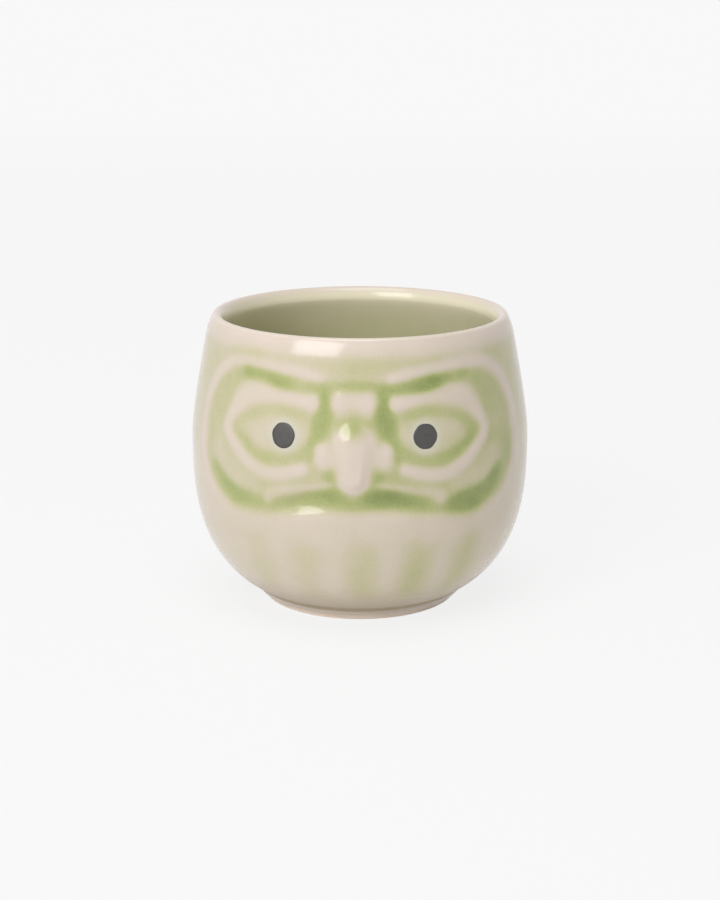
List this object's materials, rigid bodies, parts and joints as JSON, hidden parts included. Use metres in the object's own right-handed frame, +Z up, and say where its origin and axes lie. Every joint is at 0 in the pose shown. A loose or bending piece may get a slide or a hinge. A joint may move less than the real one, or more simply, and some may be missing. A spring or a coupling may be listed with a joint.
{
  "type": "daruma face cup",
  "caption": "Small handleless porcelain cup shaped as a daruma doll's head, with a pressed relief face, painted pupils, pale green glaze and a turned foot ring.",
  "frame": {"origin": "centre of the foot ring, on the surface that the cup stands on", "axes": "+Z up along the cup's axis, -Y out of the face, +X to the right as the face is looked at"},
  "size_m": [0.0658, 0.0667, 0.0566],
  "materials": {
    "porcelain": "matte",
    "celadon_glaze": "gloss",
    "celadon_glaze_inside": "gloss",
    "celadon_glaze_underfoot": "gloss",
    "black_overglaze": "satin"
  },
  "bodies": {
    "root": {"porcelain_body": "porcelain", "outer_glaze": "celadon_glaze", "inner_glaze": "celadon_glaze_inside", "foot_well_glaze": "celadon_glaze_underfoot", "left_pupil": "black_overglaze", "right_pupil": "black_overglaze"}
  },
  "joints": []
}
